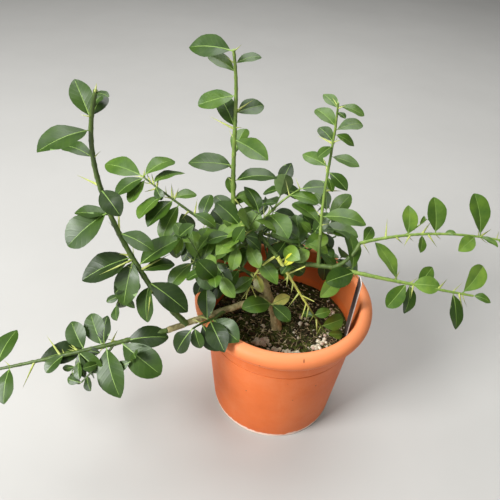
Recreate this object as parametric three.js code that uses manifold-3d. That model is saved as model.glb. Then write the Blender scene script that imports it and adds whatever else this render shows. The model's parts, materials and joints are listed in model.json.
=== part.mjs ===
// A potted finger lime: a young thorny citrus in a terracotta-coloured plastic pot.
// The origin is the middle of the pot's flat underside, +X is to the right of the plant's
// front, +Y runs away from the front and +Z is up. Lengths are in millimetres and angles in
// degrees: a heading turns from +X towards +Y, a rise is measured up from the level.
import * as THREE from "three";
import { mergeVertices } from "three/addons/utils/BufferGeometryUtils.js";
import Module from "manifold-3d";

const wasm = await Module();
wasm.setup();

// The pot: a round wall that widens upwards, a fine step, a collar and a thick rolled rim.
const POT_HEIGHT = 162;
const BASE_RADIUS = 71;
const STEP_HEIGHT = 121;
const STEP_RADIUS = 81.6;
const COLLAR_RADIUS = 86.5;
const RIM_RADIUS = 95.1;
const RIM_BOTTOM = 144;
const RIM_ROLL = 9.5;
const MOUTH_RADIUS = 81.6;
const WALL = 2.6;
const FLOOR = 4;
const POT_SEGMENTS = 36;

// The compost and the blank card label that is pushed into it at the right.
const SOIL_LEVEL = 112;
const LABEL = { width: 12, thick: 1, above: 97, below: 24, x: 73, y: -8, face: 14,
  turn: 80, lean: 9 };

// The trunk's middle line starts just under the compost, and its foot is cut level above it.
const TRUNK_FOOT = new THREE.Vector3(-3.6, -3.4, SOIL_LEVEL - 3);

// Where solids touch they are kept this far apart, and points closer than the other are one.
const GAP = 0.3;
const MERGE = 1e-3;

// Sides of a bough, sides of a twig, and the length of one step along either.
const BOUGH_SIDES = 8;
const STEM_SIDES = 4;
const TWIG_SIDES = 3;
const STEP_LENGTH = 15;

// Leaf proportions, as shares of its length.
const LEAF_WIDTH = 0.58;
const LEAF_THICKNESS = 0.035;
const LEAF_FOLD = 0.16;
const LEAF_BOW = 0.25;
const LEAF_CURL = 0.08;
// How far along the leaf its root, its two broad rings and its tip lie, and how wide each is.
// The root lies a little behind its place on the twig, so that it is sunk in there.
const LEAF_STATIONS = [-0.035, 0.3, 0.68, 1];
const LEAF_OUTLINE = [0, 0.88, 0.9, 0];

// Successive leaves stand this far round the twig from each other.
const LEAF_TURN = 137.5;
const LEAF_SPREAD = 62;
const LEAF_SAG = 0.22;

const BARK = { color: 0x8d7b5c, roughness: 0.9 };
const GREEN_BARK = { color: 0x55702f, roughness: 0.7 };
const YOUNG_BARK = { color: 0x7fa043, roughness: 0.6 };
const LEAF_GREEN = { color: 0x3d6b2c, roughness: 0.4 };
const LEAF_BRIGHT = { color: 0x5c8f38, roughness: 0.4 };
const YELLOW_LEAF = { color: 0xb4bc50, roughness: 0.4 };

// The trunk and the boughs. Each springs from a place along another limb, runs for its reach,
// starts out on a heading and a rise that change evenly by turn and lift on the way, and tapers
// from foot to tip. The trunk's foot spreads into a root flare.
const LIMBS = [
  { name: "trunk", foot: 4.8, tip: 3.8, reach: 102, heading: -119, turn: -104, rise: 76, lift: -7,
    flare: 2.5, bark: BARK },
  { name: "left_low_bough", on: "trunk", at: 0.56, foot: 3.6, tip: 2.9,
    reach: 114, heading: -149, turn: 3, rise: 4, lift: -4, bark: BARK },
  { name: "left_tall_bough", on: "left_low_bough", at: 0.83, foot: 2.9, tip: 2.6,
    reach: 55, heading: -165, turn: 5, rise: 57, lift: 5, bark: GREEN_BARK },
  { name: "rim_bough", on: "left_low_bough", at: 0.45, foot: 2, tip: 1.6,
    reach: 18, heading: -121, turn: 0, rise: 8, lift: 0, bark: GREEN_BARK },
  { name: "centre_bough", on: "trunk", at: 1, foot: 3.4, tip: 2.6,
    reach: 44, heading: 150, turn: -9, rise: 36, lift: 15, bark: GREEN_BARK },
  { name: "right_low_bough", on: "trunk", at: 0.93, foot: 3, tip: 2.3,
    reach: 79, heading: 13, turn: -27, rise: 10, lift: -9, bark: GREEN_BARK },
  { name: "right_tall_bough", on: "right_low_bough", at: 0.75, foot: 1.9, tip: 1.6,
    reach: 33, heading: 110, turn: -8, rise: 68, lift: 12, bark: GREEN_BARK },
  { name: "right_high_bough", on: "right_low_bough", at: 0.93, foot: 2, tip: 1.8,
    reach: 37, heading: 9, turn: 43, rise: 22, lift: 35, bark: YOUNG_BARK },
  { name: "back_left_bough", on: "trunk", at: 0.9, foot: 2.4, tip: 1.8,
    reach: 66, heading: 134, turn: 37, rise: 34, lift: -16, bark: GREEN_BARK },
  { name: "back_right_bough", on: "trunk", at: 0.97, foot: 2.4, tip: 1.7,
    reach: 43, heading: 103, turn: -22, rise: 48, lift: 0, bark: GREEN_BARK },
  { name: "front_bough", on: "back_right_bough", at: 0.7, foot: 2, tip: 1.9,
    reach: 34, heading: -57, turn: 0, rise: -7, lift: 0, bark: YOUNG_BARK },
];

// The masses of foliage. Each is one shoot that carries on from its limb, written as a limb is.
// leaves lists those that stand clear of the rest, from foot to tip: how far along the shoot,
// heading, rise and length. sprigs lists side twigs in the same way, and then how many leaves
// each bears and how long they are. The other twigs and the spare leaves follow the rule.
const MASSES = [
  { name: "left_low_leaves", on: "left_low_bough", foot: 2.7, tip: 1.1,
    reach: 185, heading: -160, turn: -11, rise: -6, lift: -7, seed: 3, finish: LEAF_GREEN,
    leaves: [
      [0.22, 10, 5, 41], [0.24, -30, -15, 49], [0.31, -65, -30, 50], [0.32, 95, 45, 28],
      [0.33, 125, 30, 34], [0.41, -10, 0, 13], [0.42, 130, 30, 31], [0.45, -30, -15, 30],
      [0.45, -65, -30, 25], [0.52, -125, -10, 22], [0.66, 25, 5, 41], [0.79, -85, -20, 34],
      [0.87, 80, 20, 42], [0.9, -130, -10, 17], [0.99, 155, 10, 40]],
    sprigs: [[0.27, -120, -25, 45, 5, 16], [0.4, -130, -25, 24, 4, 15]],
    twigs: { count: 1, from: 0.12, to: 0.12, reach: 26, leaves: 3, length: 18 } },
  { name: "left_tall_leaves", on: "left_tall_bough", foot: 2.5, tip: 1.8,
    reach: 192, heading: 143, turn: 26, rise: 39, lift: 72, seed: 5, finish: LEAF_GREEN,
    leaves: [
      [0.04, -95, -60, 36], [0.06, -20, -25, 46], [0.11, 25, 5, 31], [0.14, 35, 25, 46],
      [0.18, -100, -45, 42], [0.19, -155, -15, 48], [0.32, -15, -15, 35], [0.41, -170, 10, 30],
      [0.43, -140, -25, 45], [0.54, -45, -20, 30], [0.69, 160, 10, 31], [0.82, -130, 0, 46],
      [0.87, 130, 45, 34], [0.88, 75, 30, 24], [0.92, 75, 20, 15], [0.99, -20, 0, 12]],
    sprigs: [[0.17, -130, -60, 44, 7, 17]] },
  { name: "rim_leaves", on: "rim_bough", foot: 1.6, tip: 0.8,
    reach: 30, heading: -140, turn: 20, rise: 14, lift: 0, seed: 8, finish: LEAF_GREEN,
    leaves: [
      [0.1, -40, -4, 36], [0.2, -62, -10, 37], [0.3, 100, 45, 31], [0.55, -40, -44, 32],
      [0.9, -55, -58, 22], [1, -150, -55, 31]] },
  { name: "centre_leaves", on: "centre_bough", foot: 2.5, tip: 1.3,
    reach: 176, heading: 114, turn: -41, rise: 64, lift: 50, seed: 13, finish: LEAF_BRIGHT,
    leaves: [
      [0.03, 140, 30, 32], [0.11, 35, 30, 19], [0.15, 10, 20, 23], [0.17, 120, 50, 19],
      [0.25, 15, 5, 44], [0.34, -175, 5, 43], [0.39, 75, 30, 35], [0.49, -30, -10, 38],
      [0.56, 140, 50, 32], [0.64, 30, 10, 29], [0.74, -165, -10, 34], [0.87, 165, 25, 27],
      [0.92, 20, 15, 23], [0.99, 170, 0, 38]] },
  { name: "right_low_leaves", on: "right_low_bough", foot: 2.2, tip: 1.1,
    reach: 136, heading: -14, turn: 16, rise: 1, lift: -10, seed: 21, finish: LEAF_BRIGHT,
    leaves: [
      [0.03, -130, -30, 36], [0.1, 95, 35, 42], [0.12, -145, 5, 36], [0.43, 125, 35, 44],
      [0.5, -130, -20, 33], [0.52, -95, -50, 30], [0.53, 0, 0, 30], [0.58, 45, 30, 25],
      [0.84, -75, -45, 37], [0.91, 45, 30, 38], [1, -10, -10, 19]] },
  { name: "right_high_leaves", on: "right_high_bough", foot: 1.7, tip: 1,
    reach: 150, heading: 17, turn: -25, rise: 10, lift: -14, seed: 34, finish: LEAF_BRIGHT,
    leaves: [
      [0.02, 55, 30, 20], [0.33, 85, 40, 32], [0.43, -95, -30, 20], [0.52, 100, 55, 37],
      [0.67, 175, 5, 12], [0.79, -135, -10, 28], [0.81, -40, 0, 21], [0.82, 110, 55, 44],
      [0.93, -55, -10, 26], [1, 15, 10, 31]],
    sprigs: [[0.31, 30, 20, 30, 3, 10]] },
  { name: "right_tall_leaves", on: "right_tall_bough", foot: 1.6, tip: 0.9,
    reach: 139, heading: 95, turn: -24, rise: 58, lift: 58, seed: 55, finish: LEAF_BRIGHT,
    leaves: [
      [0.07, 145, 20, 36], [0.13, -5, 0, 44], [0.42, -65, -30, 16], [0.46, -40, -20, 26],
      [0.49, 150, 10, 29], [0.57, -15, -5, 28], [0.65, -140, -20, 18], [0.68, 130, 20, 21],
      [0.74, -10, -20, 21], [0.77, 25, 10, 28], [0.8, 135, 20, 26], [0.92, -60, 0, 12],
      [0.95, 130, 20, 20], [0.97, -5, -10, 24]] },
  { name: "back_left_leaves", on: "back_left_bough", foot: 1.7, tip: 0.8,
    reach: 87, heading: 163, turn: -1, rise: 26, lift: 3, seed: 89, finish: LEAF_GREEN,
    leaves: [
      [0.07, -115, -40, 36], [0.16, 75, 40, 29], [0.3, -25, -10, 29], [0.48, -120, -40, 40],
      [0.56, -125, -15, 40], [0.59, 30, 0, 27], [0.67, -125, -10, 40], [0.82, -60, -20, 17],
      [0.87, 40, 5, 38], [0.96, -115, -20, 31], [0.98, -132, -8, 36], [1, 50, 10, 40],
      [1, 160, 5, 46]] },
  { name: "back_right_leaves", on: "back_right_bough", foot: 1.6, tip: 0.8,
    reach: 51, heading: 31, turn: -17, rise: 52, lift: -21, seed: 144, finish: LEAF_BRIGHT,
    leaves: [
      [0.07, -180, 20, 25], [0.08, -35, 0, 42], [0.2, -60, 0, 40], [0.3, -110, 50, 30],
      [0.76, -15, 0, 30], [1, 10, 5, 34]] },
  { name: "front_leaves", on: "front_bough", foot: 1.7, tip: 0.7,
    reach: 119, heading: -8, turn: 12, rise: -58, lift: 0, seed: 233, finish: YELLOW_LEAF,
    leaves: [
      [0.11, 30, 50, 17], [0.72, 20, 5, 20], [0.74, 155, -10, 15], [0.88, 25, 5, 28],
      [1, 15, -10, 20]],
    sprigs: [[0.19, 15, 20, 19, 0, 0], [0.45, -5, -25, 16, 0, 0], [0.56, -105, -40, 17, 0, 0]] },
  { name: "thorny_leaves", on: "front_bough", at: 0.95, foot: 1.3, tip: 0.7,
    reach: 48, heading: -172, turn: 22, rise: -32, lift: -50, seed: 377, finish: YELLOW_LEAF,
    leaves: [[0.7, -145, -20, 28], [0.6, -65, -30, 20]],
    sprigs: [[0.6, 5, 5, 16, 0, 0], [0.9, -50, -40, 14, 0, 0], [0.9, -110, -40, 15, 0, 0]] },
  { name: "crown_left_leaves", on: "trunk", at: 0.72, foot: 1.8, tip: 0.9,
    reach: 88, heading: -155, turn: -17, rise: 58, lift: -58, seed: 7, finish: LEAF_GREEN,
    leaves: [
      [0.46, -130, -35, 28], [0.66, 65, 30, 28], [0.77, -50, -20, 28],
      [0.8, 60, 35, 36], [0.9, 75, 35, 28], [0.93, 115, 30, 33], [0.99, -45, -30, 31],
      [1, -130, -20, 34], [1, 75, 30, 39]],
    twigs: { count: 3, from: 0.3, to: 0.9, reach: 28, leaves: 3, length: 28 } },
  { name: "crown_middle_leaves", on: "trunk", at: 0.94, foot: 1.8, tip: 0.9,
    reach: 56, heading: -165, turn: -20, rise: 62, lift: 8, seed: 11, finish: LEAF_GREEN,
    leaves: [
      [0.22, -45, -15, 34], [0.61, -60, -20, 28], [0.77, -25, -25, 20],
      [0.83, 155, 20, 24], [0.86, -130, -10, 36], [1, -130, -5, 22], [1, 150, 30, 32]],
    twigs: { count: 3, from: 0.35, to: 0.8, reach: 24, leaves: 3, length: 28 } },
  { name: "crown_right_leaves", on: "back_right_bough", at: 0.76, foot: 1.6, tip: 0.9,
    reach: 46, heading: -14, turn: 0, rise: -9, lift: 0, seed: 17, finish: LEAF_GREEN,
    leaves: [
      [0.18, 15, 10, 34], [0.24, 0, 0, 34], [0.59, -130, -30, 28], [0.66, -40, -30, 28],
      [0.91, 100, 35, 35], [1, 35, 10, 31]],
    twigs: { count: 2, from: 0.5, to: 0.9, reach: 20, leaves: 3, length: 26 } },
  { name: "crown_front_leaves", on: "trunk", at: 0.44, foot: 1.7, tip: 1,
    reach: 16, heading: -95, turn: 0, rise: 45, lift: 0, seed: 23, finish: LEAF_GREEN,
    leaves: [[0.8, 25, 15, 22], [0.95, -35, -15, 26], [1, -145, 20, 37]] },
  { name: "crown_back_leaves", on: "trunk", at: 0.75, foot: 1.9, tip: 0.9,
    reach: 100, heading: 82, turn: 16, rise: 14, lift: -16, seed: 29, finish: LEAF_GREEN,
    leaves: [],
    twigs: { count: 4, from: 0.3, to: 0.9, reach: 36, leaves: 4, length: 34 },
    spare: { count: 4, from: 0.3, to: 1, length: 34 } },
  { name: "crown_back_left_leaves", on: "trunk", at: 0.66, foot: 1.9, tip: 0.9,
    reach: 104, heading: 140, turn: -6, rise: 12, lift: -6, seed: 37, finish: LEAF_GREEN,
    leaves: [],
    twigs: { count: 4, from: 0.3, to: 0.9, reach: 36, leaves: 4, length: 34 },
    spare: { count: 3, from: 0.35, to: 1, length: 34 } },
  { name: "crown_back_right_leaves", on: "trunk", at: 0.8, foot: 1.9, tip: 0.9,
    reach: 104, heading: 46, turn: -10, rise: 10, lift: -8, seed: 41, finish: LEAF_GREEN,
    leaves: [],
    twigs: { count: 4, from: 0.3, to: 0.9, reach: 36, leaves: 4, length: 34 },
    spare: { count: 3, from: 0.35, to: 1, length: 34 } },
];

const radians = THREE.MathUtils.degToRad;
const UP = new THREE.Vector3(0, 0, 1);

// Leaves turn their faces to the light, which comes from above and a little from the front.
const LIGHT = direction(-90, 66);

// A fixed, even scatter: the same seed and count always give the same share from 0 to 1.
function chance(seed, count) {
  const x = Math.sin(seed * 12.9898 + count * 78.233) * 43758.5453;
  return x - Math.floor(x);
}

function direction(heading, rise) {
  const level = Math.cos(radians(rise));
  return new THREE.Vector3(
    level * Math.cos(radians(heading)),
    level * Math.sin(radians(heading)),
    Math.sin(radians(rise)),
  );
}

// The way that a limb runs at a share of its reach, with a level side and an upper side to it.
function heads(limb, share) {
  const heading = limb.heading + limb.turn * share;
  const along = direction(heading, limb.rise + limb.lift * share);
  const side = direction(heading - 90, 0);
  return { along, side, upper: side.clone().cross(along) };
}

// The place on a limb's middle line at a share of its reach, in even steps from its start.
function place(limb, share) {
  const steps = 24;
  const at = limb.start.clone();
  for (let i = 0; i < steps; i += 1) {
    const part = THREE.MathUtils.clamp(share * steps - i, 0, 1);
    const { along } = heads(limb, (i + 0.5) / steps);
    at.addScaledVector(along, (part * limb.reach) / steps);
  }
  return at;
}

function radiusAt(limb, share) {
  const flare = (limb.flare ?? 0) * Math.exp(-share * 12);
  return THREE.MathUtils.lerp(limb.foot, limb.tip, share) + flare;
}

// A three.js shape with its vertices moved, as a solid that can be joined and cut.
function solidOf(geometry, move = (v) => v) {
  const bare = new THREE.BufferGeometry();
  bare.setAttribute("position", geometry.getAttribute("position").clone());
  bare.setIndex(geometry.getIndex());
  const shape = mergeVertices(bare, MERGE);
  const spots = shape.getAttribute("position");
  const v = new THREE.Vector3();
  for (let i = 0; i < spots.count; i += 1) {
    v.fromBufferAttribute(spots, i);
    const to = move(v);
    spots.setXYZ(i, to.x, to.y, to.z);
  }
  const solid = new wasm.Manifold(
    new wasm.Mesh({
      numProp: 3,
      vertProperties: spots.array,
      triVerts: new Uint32Array(shape.getIndex().array),
    }),
  );
  return solid;
}

// A limb is a tapered cylinder bent along its middle line. proud makes it fatter and longer,
// for cutting room round it.
function limbSolid(limb, sides, proud = 0) {
  const steps = Math.max(1, Math.round(limb.reach / STEP_LENGTH));
  const rod = new THREE.CylinderGeometry(1, 1, 1, sides, steps);
  return solidOf(rod, (v) => {
    const share = v.y + 0.5;
    const { along, side, upper } = heads(limb, share);
    const radius = radiusAt(limb, share) + proud;
    const at = place(limb, share).addScaledVector(along, proud * Math.sign(v.y));
    return at.addScaledVector(side, v.x * radius).addScaledVector(upper, v.z * radius);
  });
}

// A leaf is a four-sided ball drawn out from its root to its outline: a shallow keel that
// bows up on its way and curls down to the tip.
function leafSolid(leaf) {
  const { root, along, face, length } = leaf;
  const across = face.clone().cross(along);
  const rings = LEAF_STATIONS.length - 1;
  const ball = new THREE.SphereGeometry(1, 4, rings);
  return solidOf(ball, (v) => {
    const ring = Math.round((Math.acos(THREE.MathUtils.clamp(v.y, -1, 1)) * rings) / Math.PI);
    const share = LEAF_STATIONS[ring];
    const around = Math.hypot(v.x, v.z) || 1;
    const half = (LEAF_OUTLINE[ring] * LEAF_WIDTH * length) / 2;
    const edge = (v.x / around) * half;
    const thick = ring % rings === 0 ? 0 : (v.z / around) * LEAF_THICKNESS * length;
    const bow = LEAF_BOW * share * (1 - share) - LEAF_CURL * share * share;
    const lift = LEAF_FOLD * Math.abs(edge) + bow * length + thick;
    return root.clone()
      .addScaledVector(along, share * length)
      .addScaledVector(across, edge)
      .addScaledVector(face, lift);
  });
}

function thornSolid(thorn) {
  const spike = new THREE.CylinderGeometry(0, thorn.foot, thorn.length, 3, 1);
  const turn = new THREE.Quaternion().setFromUnitVectors(new THREE.Vector3(0, 1, 0), thorn.along);
  return solidOf(spike, (v) => {
    v.y += thorn.length / 2;
    return v.clone().applyQuaternion(turn).add(thorn.root);
  });
}

// The upper face of a leaf looks to the light and a little towards the tip of its twig.
function leafOn(limb, share, along, length, roll) {
  const { along: twig } = heads(limb, share);
  const face = LIGHT.clone().addScaledVector(twig, 0.4);
  face.addScaledVector(along, -face.dot(along)).normalize();
  face.applyAxisAngle(along, radians(roll));
  return { root: place(limb, share), along, face, length };
}

// The direction of the leaf that stands at an angle round its twig, sagging under its weight.
function outward(limb, share, around, spread, sag) {
  const { along, side, upper } = heads(limb, share);
  return along.multiplyScalar(Math.cos(radians(spread)))
    .addScaledVector(upper, Math.sin(radians(spread)) * Math.cos(radians(around)))
    .addScaledVector(side, Math.sin(radians(spread)) * Math.sin(radians(around)))
    .addScaledVector(UP, -sag)
    .normalize();
}

// Leaves that follow the rule: each a fixed turn round the twig from the last.
function ruleLeaves(limb, seed, { count, from, to, length }) {
  return Array.from({ length: count }, (_, i) => {
    const share = THREE.MathUtils.lerp(from, to, count > 1 ? i / (count - 1) : 1);
    const around = 360 * chance(seed, 0) + LEAF_TURN * i;
    const spread = LEAF_SPREAD + 24 * (chance(seed, i + 1) - 0.5);
    const along = outward(limb, share, around, spread, LEAF_SAG);
    const size = length * (0.8 + 0.4 * chance(seed, i + 31));
    return leafOn(limb, share, along, size, 50 * (chance(seed, i + 61) - 0.5));
  });
}

// A side twig, thinner than the stem that it springs from, bends a little by its seed.
function sideTwig(limb, seed, i, share, heading, rise, reach) {
  const foot = radiusAt(limb, share) * 0.6;
  return {
    start: place(limb, share),
    reach,
    heading,
    rise,
    turn: 30 * (chance(seed, 131 + i) - 0.5),
    lift: 20 * (chance(seed, 161 + i) - 0.5),
    foot,
    tip: foot * 0.6,
  };
}

// Side twigs by the same rule, each a fixed turn round the stem from the last.
function ruleTwigs(limb, seed, { count, from, to, reach, leaves, length }) {
  return Array.from({ length: count }, (_, i) => {
    const share = THREE.MathUtils.lerp(from, to, count > 1 ? i / (count - 1) : 1);
    const around = 360 * chance(seed, 100) + LEAF_TURN * i;
    const along = outward(limb, share, around, 55, -0.1);
    const heading = THREE.MathUtils.radToDeg(Math.atan2(along.y, along.x));
    const rise = THREE.MathUtils.radToDeg(Math.asin(along.z));
    const size = reach * (0.8 + 0.4 * chance(seed, 101 + i));
    return { ...sideTwig(limb, seed, i, share, heading, rise, size), leaves, length };
  });
}

// One thorn stands beside most leaves, on the other side of the twig.
function ruleThorns(limb, seed, leaves) {
  return leaves.filter((_, i) => chance(seed, 200 + i) < 0.4).map((leaf, i) => ({
    root: leaf.root,
    along: leaf.along.clone().multiplyScalar(-0.7).addScaledVector(heads(limb, 0.5).along, 0.7)
      .normalize(),
    foot: 0.7,
    length: 9 + 9 * chance(seed, 230 + i),
  }));
}

const solids = new Map();
const byName = new Map();
const group = new THREE.Group();

function near(a, b, room) {
  const p = a.boundingBox();
  const q = b.boundingBox();
  return [0, 1, 2].every((k) => p.min[k] - room < q.max[k] && q.min[k] - room < p.max[k]);
}

// Whether a piece of a mass stays clear of every solid but its own.
function clear(piece, owner) {
  return [...solids].every(
    ([name, other]) => name === owner || !near(piece, other, GAP) || piece.minGap(other, GAP) >= GAP,
  );
}

function geometryOf(solid) {
  const mesh = solid.getMesh();
  const geometry = new THREE.BufferGeometry();
  geometry.setAttribute("position", new THREE.BufferAttribute(mesh.vertProperties, 3));
  geometry.setIndex(new THREE.BufferAttribute(mesh.triVerts, 1));
  return geometry;
}

function largestBody(solid) {
  return solid.decompose().reduce((best, body) => (body.volume() > best.volume() ? body : best));
}

// The largest body of a joined solid: loose scraps and sealed hollows are dropped, first as
// joined and then again with the points rounded and merged.
function wholeBody(solid) {
  return largestBody(solidOf(geometryOf(largestBody(solid.simplify(0.02)))));
}

function addNode(name, solid, finish) {
  const geometry = geometryOf(solid);
  geometry.computeVertexNormals();
  const node = new THREE.Mesh(geometry, new THREE.MeshStandardMaterial({ metalness: 0, ...finish }));
  node.name = name;
  group.add(node);
  solids.set(name, solid);
}

function lathe(profile) {
  const points = profile.map(([radius, height]) => new THREE.Vector2(radius, height));
  const shape = new THREE.LatheGeometry(points, POT_SEGMENTS);
  return solidOf(shape, (v) => new THREE.Vector3(v.x, -v.z, v.y));
}

function addPot() {
  const innerBase = BASE_RADIUS - WALL;
  const innerStep = STEP_RADIUS - WALL;
  const rimMiddle = (POT_HEIGHT + RIM_BOTTOM) / 2;
  const rim = [-65, -35, 0, 35, 65, 90].map((angle) => [
    RIM_RADIUS - RIM_ROLL + RIM_ROLL * Math.cos(radians(angle)),
    rimMiddle + ((POT_HEIGHT - RIM_BOTTOM) / 2) * Math.sin(radians(angle)),
  ]);
  addNode("pot", lathe([
    [0, 0], [BASE_RADIUS - 1.6, 0], [BASE_RADIUS, 1.8],
    [STEP_RADIUS, STEP_HEIGHT - 1], [STEP_RADIUS - 0.5, STEP_HEIGHT],
    [STEP_RADIUS + 0.7, STEP_HEIGHT + 1], [COLLAR_RADIUS, RIM_BOTTOM + 0.5], ...rim,
    [MOUTH_RADIUS + 2.5, POT_HEIGHT], [MOUTH_RADIUS, POT_HEIGHT - 2],
    [MOUTH_RADIUS - 0.6, RIM_BOTTOM + 2], [innerStep, STEP_HEIGHT], [innerBase, FLOOR], [0, FLOOR],
  ]), { color: 0xd9763f, roughness: 0.55 });
}

// The compost fills the pot to its level, and is cut out round the label's foot.
function addSoilAndLabel() {
  const wallSlope = (STEP_RADIUS - BASE_RADIUS) / STEP_HEIGHT;
  const soilEdge = BASE_RADIUS - WALL + wallSlope * SOIL_LEVEL - GAP - 0.7;
  const soil = lathe([
    [0, FLOOR + GAP], [BASE_RADIUS - WALL - GAP - 0.7, FLOOR + GAP],
    [soilEdge, SOIL_LEVEL + 1], [soilEdge - 9, SOIL_LEVEL + 0.5], [30, SOIL_LEVEL], [0, SOIL_LEVEL],
  ]);
  const labelSolid = (proud) => {
    const tall = LABEL.above + LABEL.below;
    const card = new THREE.BoxGeometry(
      LABEL.width + 2 * proud, LABEL.thick + 2 * proud, tall + 2 * proud,
    );
    card.translate(0, 0, (LABEL.above - LABEL.below) / 2);
    card.rotateZ(radians(LABEL.face));
    card.rotateY(-radians(LABEL.lean));
    card.rotateZ(radians(LABEL.turn));
    card.translate(LABEL.x, LABEL.y, SOIL_LEVEL);
    return solidOf(card);
  };
  addNode("soil", wholeBody(soil.subtract(labelSolid(GAP))), { color: 0x2e2a20, roughness: 1 });
  addNode("plant_label", labelSolid(0), { color: 0x6f6a66, roughness: 0.6 });
}

// Each limb is cut clear of the limbs before it, so it ends in a saddle on the one it springs from.
function addLimbs() {
  const cutters = [];
  for (const limb of LIMBS) {
    const carrier = byName.get(limb.on);
    limb.start = carrier ? place(carrier, limb.at) : TRUNK_FOOT.clone();
    byName.set(limb.name, limb);
    const rod = limbSolid(limb, BOUGH_SIDES).trimByPlane([0, 0, 1], SOIL_LEVEL + GAP);
    const close = cutters.filter((cutter) => near(rod, cutter, 0));
    addNode(limb.name, wholeBody(close.length ? rod.subtract(wasm.Manifold.union(close)) : rod),
      limb.bark);
    cutters.push(limbSolid(limb, BOUGH_SIDES, GAP));
  }
  return cutters;
}

// The main stem of a mass is cut clear of the bough's tip or the trunk that it meets.
function addStem(mass, cutters) {
  const carrier = byName.get(mass.on);
  mass.start = place(carrier, mass.at ?? 1);
  const stem = limbSolid(mass, STEM_SIDES).subtract(wasm.Manifold.union(cutters));
  mass.stem = wholeBody(stem);
  solids.set(mass.name, mass.stem);
  cutters.push(limbSolid(mass, STEM_SIDES, GAP));
}

// Twigs, leaves and thorns are joined to the stem, but for those that would touch another node.
function addMass(mass) {
  const { seed } = mass;
  const setTwigs = (mass.sprigs ?? []).map(([share, heading, rise, reach, leaves, length], i) => (
    { ...sideTwig(mass, seed, 50 + i, share, heading, rise, reach), leaves, length }));
  const twigs = [...(mass.twigs ? ruleTwigs(mass, seed, mass.twigs) : []), ...setTwigs];
  const setLeaves = mass.leaves.map(([share, heading, rise, length], i) =>
    leafOn(mass, share, direction(heading, rise), length, 30 * (chance(seed, i + 300) - 0.5)));
  const spareLeaves = mass.spare ? ruleLeaves(mass, seed, mass.spare) : [];
  const thorns = ruleThorns(mass, seed, [...setLeaves, ...spareLeaves]);

  const kept = [];
  const keep = (piece) => {
    const fits = clear(piece, mass.name);
    if (fits) kept.push(piece);
    return fits;
  };
  for (const leaf of [...setLeaves, ...spareLeaves]) keep(leafSolid(leaf));
  thorns.forEach((thorn) => keep(thornSolid(thorn)));
  twigs.forEach((twig, i) => {
    if (!keep(limbSolid(twig, TWIG_SIDES))) return;
    const set = { count: twig.leaves, from: 0.35, to: 1, length: twig.length };
    for (const leaf of ruleLeaves(twig, seed * 7 + i, set)) keep(leafSolid(leaf));
  });
  const body = wholeBody(wasm.Manifold.union([mass.stem, ...kept]));
  addNode(mass.name, body, mass.finish);
}

addPot();
addSoilAndLabel();
const cutters = addLimbs();
for (const mass of MASSES) addStem(mass, cutters);
for (const mass of MASSES) addMass(mass);

export default group;
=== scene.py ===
"""A potted finger lime: a young thorny citrus in a terracotta-coloured plastic pot."""
import json
from collections import namedtuple

import bpy
import numpy as np
from mathutils import Matrix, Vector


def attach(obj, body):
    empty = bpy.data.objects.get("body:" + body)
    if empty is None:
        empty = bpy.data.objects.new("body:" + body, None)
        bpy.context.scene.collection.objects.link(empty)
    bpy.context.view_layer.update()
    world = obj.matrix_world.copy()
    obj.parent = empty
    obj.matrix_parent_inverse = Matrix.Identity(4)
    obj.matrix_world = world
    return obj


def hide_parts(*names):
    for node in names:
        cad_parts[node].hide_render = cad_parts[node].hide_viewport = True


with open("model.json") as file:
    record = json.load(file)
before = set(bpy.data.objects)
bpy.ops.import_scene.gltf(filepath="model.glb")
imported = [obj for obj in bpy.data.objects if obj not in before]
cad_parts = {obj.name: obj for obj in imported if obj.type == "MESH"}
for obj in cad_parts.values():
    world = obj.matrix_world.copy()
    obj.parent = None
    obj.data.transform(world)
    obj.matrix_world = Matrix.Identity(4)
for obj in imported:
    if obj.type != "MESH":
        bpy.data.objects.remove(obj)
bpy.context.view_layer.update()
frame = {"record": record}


# The view: a hand-held camera a little to the left of the pot and well above it, tipped down
# at the plant and leaning a few degrees. Its place is in metres from the middle of the pot's foot.
VIEW_PLACE = (-0.040, -0.411, 0.545)
VIEW_TIPPED_DOWN = 38.7
VIEW_LEAN = 4.46
VIEW_FOCAL_WIDTHS = 1.05

viewer = bpy.data.objects.new("viewer", bpy.data.cameras.new("viewer"))
viewer.matrix_basis = (
    Matrix.Translation(VIEW_PLACE)
    @ Matrix.Rotation(np.radians(90 - VIEW_TIPPED_DOWN), 4, "X")
    @ Matrix.Rotation(np.radians(VIEW_LEAN), 4, "Z")
)
viewer.data.sensor_width = 36
viewer.data.lens = 36 * VIEW_FOCAL_WIDTHS
bpy.context.collection.objects.link(viewer)
bpy.context.scene.camera = viewer


# The pot: injection-moulded plastic, terracotta orange and satin. Its wall widens upwards to a
# fine step, carries on as a collar and ends in a thick rolled rim. Lime has dried pale round
# the foot, and the wall has faint dust and scuffs.
POT_HEIGHT = 0.162
BASE_RADIUS = 0.071
STEP_HEIGHT = 0.121
STEP_RADIUS = 0.0816
COLLAR_RADIUS = 0.0865
RIM_RADIUS = 0.0951
RIM_BOTTOM = 0.144
RIM_ROLL = 0.0095
MOUTH_RADIUS = 0.0816
POT_WALL = 0.0026
STEP_GROOVE = 0.0016
POT_FLOOR = 0.004
POT_ORANGE = (224, 113, 54)
POT_PALE_ORANGE = (240, 154, 104)
POT_DEEP_ORANGE = (202, 92, 36)
POT_LIME = (255, 232, 216)
# Painted light: the orange of the inside wall above the step, painted there to lighten it.
POT_PAINTED_INNER_LIGHT = (216, 118, 64)
# The colour of real specks and of the scuff on the rim, and also of the painted shade in the step's groove.
POT_SPECK_AND_GROOVE_SHADE = (112, 66, 40)
# A painted highlight along the lower edge of the rim.
POT_PAINTED_LIP_HIGHLIGHT = (255, 196, 160)
RIM_SCUFF = (0.0185, -0.0897, 0.1598)
SCUFF_SIZE = (0.0008, 0.002, 0.002)


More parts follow.
